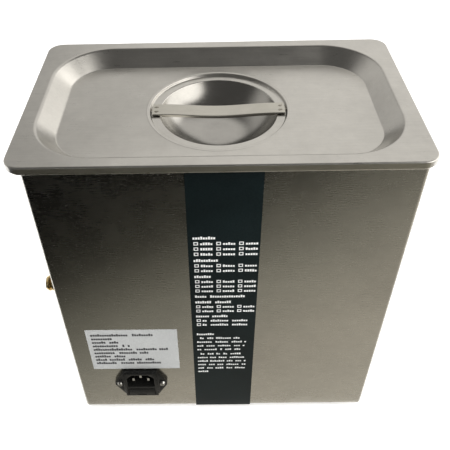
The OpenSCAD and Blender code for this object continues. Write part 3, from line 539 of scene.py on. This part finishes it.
def grip_welds(rest_z):
    """Lumpy spot welds that hold the strap's two ends to the ledge."""
    rng = random.Random(7)
    radius, squash, lumps = 1.5 * MM, (1.15, 0.8, 0.14, 1), 0.17
    spots = ((47.2, 3.2, 1.0), (47.6, -2.8, 1.0), (50.5, 0.5, 0.3))
    bm = bmesh.new()
    for side in (-1, 1):
        for x, y, up in spots:
            at = Matrix.Translation((LID_X + side * x * MM, y * MM, rest_z + up * MM))
            lump = bmesh.ops.create_icosphere(bm, subdivisions=2, radius=radius,
                                              matrix=at @ Matrix.Diagonal(squash))
            for vert in lump["verts"]:
                vert.co += Vector([rng.uniform(-lumps, lumps) * MM for _ in range(3)])
    piece("grip_welds", bm, WELD_STEEL, "lid", sharp=60)


def tank_hem():
    """The rolled lower edge of the tank's flange, which shows as a thin line under the lid's lip."""
    inset = 1.75  # of the flange within the lid, in mm
    section = [(0.06, 0.0), (0.36, 0.08), (0.50, 0.30), (0.64, 1.0), (0.64, 1.5), (0.06, 1.6)]
    loops = []
    for out, up in section + section[:1]:
        back = (inset - out) * MM
        z = TANK_EDGE_Z + up * MM
        loops.append(rounded_loop(LID_HALF_W - back, LID_HALF_D - back, LID_CORNER - back, z))
    bm = bmesh.new()
    add_loops(bm, loops)
    bmesh.ops.remove_doubles(bm, verts=bm.verts, dist=1e-6)
    bmesh.ops.recalc_face_normals(bm, faces=bm.faces)
    piece("tank_hem", bm, MATERIALS["steel"], "case", sharp=50)


def spot_weld(x, z):
    """A small pale mark on the rear sheet where a bracket is welded inside."""
    radius, flat = 1.1 * MM, 0.12
    bm = bmesh.new()
    at = Matrix.Translation((x, case_high.y, z)) @ Matrix.Diagonal((1, flat, 1, 1))
    bmesh.ops.create_icosphere(bm, subdivisions=2, radius=radius, matrix=at)
    piece("spot_weld", bm, MATERIALS["plated"], "case", sharp=60)


# ---------- printing ----------
def word_blocks(rng, x, z, width, height, face_y, out, letter=1.45 * MM, gap=0.45 * MM):
    """Blocks that stand for the letters of one word, from x towards -x, as read from the rear."""
    blocks = []
    end = x - width
    while x - letter >= end - 0.1 * MM:
        rise = height * rng.choice((0.72, 0.72, 0.8, 1.0))
        low, high = sorted((face_y, face_y + out))
        blocks.append(((x - letter, low, z), (x, high, z + rise)))
        x -= letter + gap
    return blocks


def box_ring(x, z, size, line, face_y, out):
    """A square outline whose top left corner, as read from the rear, is at x, z + size."""
    low, high = sorted((face_y, face_y + out))
    return [
        ((x - size, low, z), (x, high, z + line)),
        ((x - size, low, z + size - line), (x, high, z + size)),
        ((x - line, low, z + line), (x, high, z + size - line)),
        ((x - size, low, z + line), (x - size + line, high, z + size - line)),
    ]


def strip_print():
    """Plain marks down the rear strip: headings, rows of tick boxes and a block of lines.

    A word is only a width in mm, and its letters are plain blocks.
    """
    rng = random.Random(3)
    strip_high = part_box("rear_strip")[1]
    face = strip_high.y
    left = strip_high.x - 3.8 * MM
    top = 243 * MM
    row_step, heading_gap, group_gap, block_gap = 5.7 * MM, 0.5 * MM, 1.1 * MM, 6.6 * MM
    column, box_inset, after_box, word_up, word_gap = 17.0 * MM, 0.5 * MM, 5.0 * MM, 0.2 * MM, 2.2
    box, box_line = 3.4 * MM, 0.7 * MM
    big, middling, small = 2.9 * MM, 2.6 * MM, 2.3 * MM
    groups = (  # words of the heading, rows, columns
        ((17.5,), 3, 3), ((19.5,), 2, 3), ((13,), 3, 3), ((10, 29), 0, 0), ((14, 13), 2, 3),
        ((11.5, 13), 2, 1),
    )
    block = (  # words of each line, and whether it starts a paragraph
        ((4.2, 5.6, 13, 5.6), True), ((14, 12, 9, 2.2), False), ((6, 8, 12, 5.6, 2.2), False),
        ((4, 12, 2.2, 6, 6), False), ((4.2, 5.6, 4.2, 4.2, 9), True), ((9, 5.6, 7.8, 13), False),
        ((9, 13, 5.6, 5.6, 2.2), False), ((7.8, 5.6, 6, 12, 4), False), ((6, 5.6, 8, 5.6, 9), False),
        ((9.5,), False),
    )
    indent, paragraph_gap = 2.6 * MM, 1.2 * MM
    marks = []

    def words(start, z, widths, height):
        for width in widths:
            marks.extend(word_blocks(rng, start, z, width * MM, height, face, PRINT))
            start -= (width + word_gap) * MM

    z = top
    for heading, rows, columns in groups:
        words(left, z, heading, big)
        z -= row_step + heading_gap
        for _ in range(rows):
            for i in range(columns):
                start = left - box_inset - i * column
                marks += box_ring(start, z, box, box_line, face, PRINT)
                words(start - after_box, z + word_up, (9.7,) if columns > 1 else (4.6, 16, 13), middling)
            z -= row_step
        z -= group_gap
    z -= block_gap
    words(left, z, (16.5,), middling)
    for number, (widths, starts) in enumerate(block):
        z -= row_step + (paragraph_gap if starts and number else 0)
        words(left - (indent if starts else 0), z, widths, small)
    raised_boxes("rear_strip_print", marks, WHITE_INK, "case")


def label_print():
    """Plain lines on the label, each a row of words given by their widths in mm."""
    rng = random.Random(5)
    label_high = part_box("rating_label")[1]
    margin, top_margin, line_step, word_gap = 4 * MM, 9.2 * MM, 5.35 * MM, 2.4
    height, ink, letter, gap = 3.5 * MM, 0.04 * MM, 1.7 * MM, 0.35 * MM
    lines = (
        (34, 18), (20,), (13, 8), (24, 2.4, 2.4), (36, 18, 9), (20, 16, 8), (15, 11), (10, 15, 13, 9),
        (20, 12, 24),
    )
    marks = []
    z = label_high.z - top_margin
    for widths in lines:
        x = label_high.x - margin
        for width in widths:
            marks += word_blocks(rng, x, z, width * MM, height, label_high.y, ink, letter, gap)
            x -= (width + word_gap) * MM
        z -= line_step
    raised_boxes("label_print", marks, BLACK_INK, "case")


# ---------- front controls ----------
def front_marks():
    """A thin frame round the display, and three short bars, each narrower than the last, above each key."""
    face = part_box("front_strip")[0].y
    front = face - PRINT
    window_low, window_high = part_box("display_window")
    edge, line, bar = 1.2 * MM, 0.5 * MM, 0.35 * MM
    x0, x1 = window_low.x - edge, window_high.x + edge
    z0, z1 = window_low.z - edge, window_high.z + edge
    marks = [
        ((x0 - line, front, z0 - line), (x1 + line, face, z0)),
        ((x0 - line, front, z1), (x1 + line, face, z1 + line)),
        ((x0 - line, front, z0), (x0, face, z1)),
        ((x1, front, z0), (x1 + line, face, z1)),
    ]
    for node in KEYS:
        low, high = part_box(node)
        middle = ((low + high) / 2).x
        for i in range(3):
            half = (3.4 - i * 0.9) * MM
            z = high.z + (1.9 + i * 0.7) * MM
            marks.append(((middle - half, front, z), (middle + half, face, z + bar)))
    raised_boxes("front_print", marks, WHITE_INK, "case")


def key_signs():
    """Printed signs on the keys: arrows up and down, and dots."""
    size, proud = 2.4 * MM, 0.04 * MM
    first_corner = {"up": math.pi / 2, "down": math.pi / 2 + math.pi, "dot": 0}
    for node, sign in KEYS.items():
        low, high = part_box(node)
        middle = Vector(((low.x + high.x) / 2, low.y - proud, (low.z + high.z) / 2))
        bm = bmesh.new()
        count = 24 if sign == "dot" else 3
        turns = [first_corner[sign] + 2 * math.pi * i / count for i in range(count)]
        outline = [Vector((size * math.cos(a), 0, size * math.sin(a))) for a in turns]
        front = [bm.verts.new(middle + p) for p in outline]
        back = [bm.verts.new(middle + p + Vector((0, PRINT, 0))) for p in outline]
        bm.faces.new(front)
        bm.faces.new(reversed(back))
        for i in range(len(front)):
            j = (i + 1) % len(front)
            bm.faces.new((front[j], front[i], back[i], back[j]))
        bmesh.ops.recalc_face_normals(bm, faces=bm.faces)
        piece(node + "_sign", bm, WHITE_INK, NODES[node]["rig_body"])


def display_digits():
    """Four seven-bar numerals behind the display's window."""
    shown = {"0": "abcdef", "5": "afgcd", "3": "abgcd"}
    low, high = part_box("display_window")
    face, thick = high.y + 0.1 * MM, 0.2 * MM
    digit_w, digit_h, bar = 5 * MM, 10 * MM, 1.1 * MM
    half = digit_h / 2
    right = digit_w - bar
    bars = {
        "a": (0, digit_h - bar, digit_w, bar), "g": (0, half - bar / 2, digit_w, bar),
        "d": (0, 0, digit_w, bar), "f": (0, half, bar, half), "b": (right, half, bar, half),
        "e": (0, 0, bar, half), "c": (right, 0, bar, half),
    }
    marks = []
    for place, digit in zip((12.5, 5, -4.5, -12), "0530"):
        x = (low.x + high.x) / 2 + place * MM - digit_w / 2
        z = (low.z + high.z) / 2 - half
        for name in shown[digit]:
            dx, dz, w, h = bars[name]
            marks.append(((x + dx, face, z + dz), (x + dx + w, face + thick, z + dz + h)))
    raised_boxes("display_digits", marks, LIT_RED, "case")


# ---------- set and light ----------
def staged_sheet(name, x0, x1, y0, y1, z):
    """A flat level sheet that isn't part of the object."""
    mesh = bpy.data.meshes.new(name)
    mesh.from_pydata([(x0, y0, z), (x1, y0, z), (x1, y1, z), (x0, y1, z)], [], [(0, 1, 2, 3)])
    obj = bpy.data.objects.new(name, mesh)
    bpy.context.scene.collection.objects.link(obj)
    return obj


def studio():
    """A pale floor, a soft surround and the light."""
    half = 6.0
    floor = staged_sheet("floor", -half, half, -half, half, 0)
    floor.data.materials.append(grained(
        "pale_floor", (0.90, 0.90, 0.90), (0.92, 0.92, 0.92), (40, 40, 40), (0.8, 0.9), bump=0.02,
        worn=(0.99, 1.01), Specular_IOR_Level=0.0, Emission_Color=(1, 1, 1, 1), Emission_Strength=0.3))
    reflector()
    surround()
    soft_light("overhead", at=(0.2, 0.5, 2.2), target=(0, 0, 0), size=2.6, energy=70)


def soft_light(name, at, target, size, energy):
    """A square light that reflections don't show."""
    light = bpy.data.lights.new(name, "AREA")
    light.size = size
    light.energy = energy
    obj = bpy.data.objects.new(name, light)
    obj.location = at
    obj.rotation_euler = (Vector(target) - Vector(at)).to_track_quat("-Z", "Y").to_euler()
    obj.visible_glossy = False
    bpy.context.scene.collection.objects.link(obj)


def reflector():
    """A card on the floor behind the object, darker with distance and towards +X; only reflections see it."""
    half, far, clear = 1.6, 2.0, 4 * MM
    obj = staged_sheet("card", -half, half, case_high.y + clear, far, 0.4 * MM)
    lean, reach = 0.6, 0.6
    r = Recipe("card")
    axes = r.add("ShaderNodeSeparateXYZ", {"Vector": r.place})
    slant = r.add("ShaderNodeMath", {0: axes.outputs["X"], 1: lean, 2: axes.outputs["Y"]},
                  operation="MULTIPLY_ADD")
    along = r.ramp(r.span(slant.outputs["Value"], 0, 1, 0.0, reach),
                   (0.0, (0.54, 0.51, 0.45)), (0.17, (0.46, 0.43, 0.375)), (0.33, (0.31, 0.30, 0.26)),
                   (0.47, (0.16, 0.155, 0.13)), (0.60, (0.034, 0.033, 0.027)), (0.72, (0.006, 0.006, 0.005)),
                   (0.86, (0.001, 0.001, 0.001)))
    r.tree.nodes.remove(r.shader)
    glow = r.add("ShaderNodeEmission", {"Color": along, "Strength": 1.0})
    r.tree.links.new(glow.outputs["Emission"], r.tree.nodes["Material Output"].inputs["Surface"])
    obj.data.materials.append(r.mat)
    obj.visible_camera = False
    obj.visible_diffuse = False
    obj.visible_transmission = False
    obj.visible_shadow = False


def surround():
    """A soft surround that lights the object and shows in the metal, and a white backdrop for the camera."""
    dim_room = 0.09
    warm_white = (1.0, 0.975, 0.93, 1)
    world = bpy.data.worlds.new("surround")
    world.use_nodes = True
    tree = world.node_tree
    bpy.context.scene.world = world
    way = tree.nodes.new("ShaderNodeTexCoord").outputs["Generated"]
    total = None
    # (direction, cosine where it fades in, cosine where it is full, brightness)
    lobes = [
        ((-0.86, -0.34, 0.06), 0.70, 0.88, 1.85),  # three windows to one side
        ((-0.93, 0.16, 0.20), 0.74, 0.93, 1.90),
        ((-0.80, 0.38, 0.46), 0.84, 0.94, 2.00),
        ((-0.20, -0.80, 0.55), 0.80, 0.97, 0.75),  # a pale wall in front
        ((0.80, -0.55, 0.15), 0.60, 0.92, 0.50),  # and the other side of the room
    ]
    for direction, start, full, bright in lobes:
        dot = tree.nodes.new("ShaderNodeVectorMath")
        dot.operation = "DOT_PRODUCT"
        tree.links.new(way, dot.inputs[0])
        dot.inputs[1].default_value = Vector(direction).normalized()
        fade = tree.nodes.new("ShaderNodeMapRange")
        fade.interpolation_type = "SMOOTHSTEP"
        tree.links.new(dot.outputs["Value"], fade.inputs["Value"])
        fade.inputs["From Min"].default_value = start
        fade.inputs["From Max"].default_value = full
        fade.inputs["To Max"].default_value = bright
        if total is None:
            total = fade.outputs["Result"]
        else:
            both = tree.nodes.new("ShaderNodeMath")
            both.operation = "MAXIMUM"
            tree.links.new(total, both.inputs[0])
            tree.links.new(fade.outputs["Result"], both.inputs[1])
            total = both.outputs["Value"]
    base = tree.nodes.new("ShaderNodeMath")
    tree.links.new(total, base.inputs[0])
    base.inputs[1].default_value = dim_room
    sky = tree.nodes["Background"]
    sky.inputs["Color"].default_value = warm_white
    tree.links.new(base.outputs["Value"], sky.inputs["Strength"])
    wall = tree.nodes.new("ShaderNodeBackground")
    wall.inputs["Color"].default_value = (1, 1, 1, 1)
    seen = tree.nodes.new("ShaderNodeMixShader")
    tree.links.new(tree.nodes.new("ShaderNodeLightPath").outputs["Is Camera Ray"], seen.inputs[0])
    tree.links.new(sky.outputs["Background"], seen.inputs[1])
    tree.links.new(wall.outputs["Background"], seen.inputs[2])
    tree.links.new(seen.outputs["Shader"], tree.nodes["World Output"].inputs["Surface"])


def camera():
    """The viewpoint: behind the object, looking down at it."""
    turn, dip, roll = math.radians(180.945), math.radians(41.43), math.radians(-1.442)
    place = (-0.0017, 0.3813, 0.5523)
    data = bpy.data.cameras.new("camera")
    data.lens = 46.837
    data.sensor_width = 36
    data.shift_x = 0.0473
    data.shift_y = -0.0636
    obj = bpy.data.objects.new("camera", data)
    look = Matrix.Rotation(turn, 4, "Z") @ Matrix.Rotation(math.pi / 2 - dip, 4, "X")
    obj.matrix_world = Matrix.Translation(place) @ (look @ Matrix.Rotation(roll, 4, "Z"))
    bpy.context.scene.collection.objects.link(obj)
    bpy.context.scene.camera = obj


# ---------- the whole scene ----------
for node, obj in NODES.items():
    obj.data.materials.clear()
    obj.data.materials.append(MATERIALS[SLOT_OF[node]])
for node, width in ROUNDED.items():
    rounded_copy(node, width * MM)
lid_sheet()
grip_strap()
tank_hem()
spot_weld(x=(case_low.x + case_high.x) / 2 + 37.6 * MM, z=306 * MM)
strip_print()
label_print()
front_marks()
key_signs()
display_digits()
studio()
camera()

bpy.context.scene.view_settings.view_transform = "Standard"
